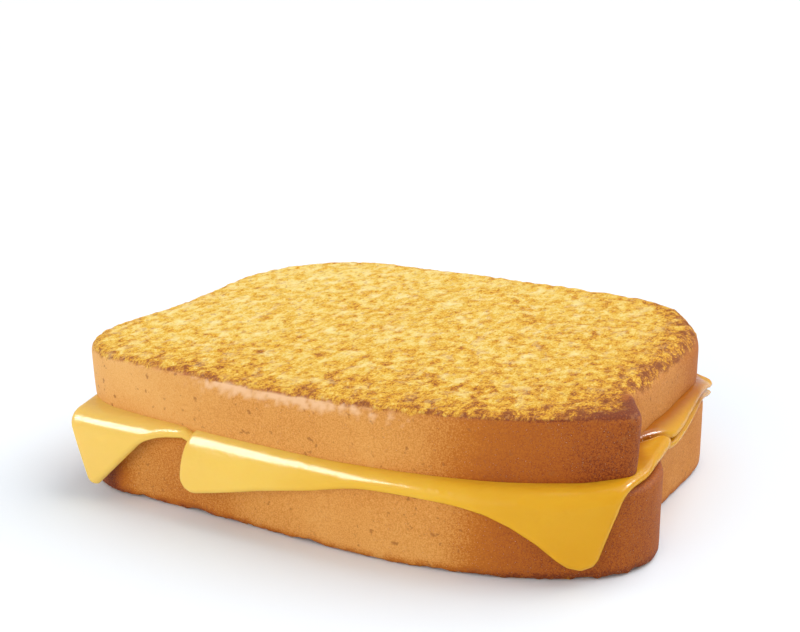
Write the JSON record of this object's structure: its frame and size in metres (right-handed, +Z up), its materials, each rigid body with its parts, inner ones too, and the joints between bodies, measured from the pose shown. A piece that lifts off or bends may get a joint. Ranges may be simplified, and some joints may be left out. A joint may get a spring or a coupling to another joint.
{
  "type": "grilled cheese sandwich",
  "caption": "Grilled sandwich of thick pan-loaf slices with square sheets of melted cheese between them, the front corners of the cheese hanging down over the crust.",
  "frame": {"origin": "middle of the footprint of the whole sandwich, on the surface that it rests on", "axes": "+X along the width of the loaf, +Y from the domed crust towards the base of the loaf, +Z up through the slices"},
  "size_m": [0.1238, 0.1012, 0.0308],
  "materials": {
    "lower_bread": "dry browned crust with fine pores, grilled face below",
    "upper_bread": "butter-grilled golden face with brown mottling, dry browned crust",
    "cheese": "smooth glossy melted cheese"
  },
  "bodies": {
    "root": {"bread_lower": "lower_bread", "cheese_lower": "cheese", "cheese_middle": "cheese", "cheese_upper": "cheese", "bread_upper": "upper_bread"}
  },
  "joints": []
}
